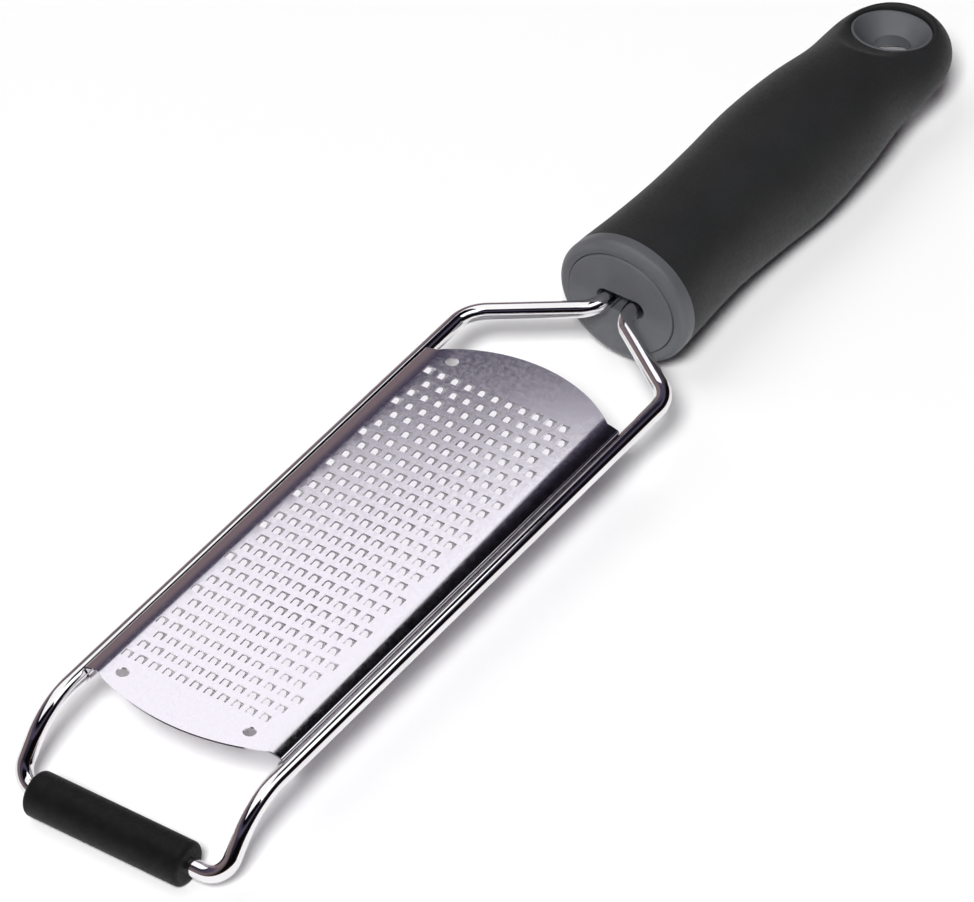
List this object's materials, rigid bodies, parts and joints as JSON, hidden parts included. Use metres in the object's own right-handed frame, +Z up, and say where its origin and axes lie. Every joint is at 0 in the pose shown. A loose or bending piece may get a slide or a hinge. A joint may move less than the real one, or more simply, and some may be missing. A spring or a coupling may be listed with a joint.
{
  "type": "rasp zester",
  "caption": "Handheld rasp zester: a toothed steel plate hemmed onto a bent wire frame, with a rubber foot at the front and a soft-grip handle with a hanging eye.",
  "frame": {"origin": "on the surface that the tool rests on, under the middle of its overall length and midway between the two rails of the wire frame", "axes": "+X along the length from the foot to the tip of the handle, +Y to the holder's left, +Z up, out of the toothed side"},
  "size_m": [0.3219, 0.058, 0.0346],
  "materials": {
    "polished_wire": "polished stainless steel wire",
    "plate_steel": "fine satin stainless sheet",
    "black_rubber": "matte",
    "grey_plastic": "satin",
    "black_grip": "matte soft touch"
  },
  "bodies": {
    "root": {"wire_frame": "polished_wire", "rasp_plate": "plate_steel", "foot_sleeve": "black_rubber", "handle_core": "grey_plastic", "face_plug": "grey_plastic", "handle_grip": "black_grip"}
  },
  "joints": []
}
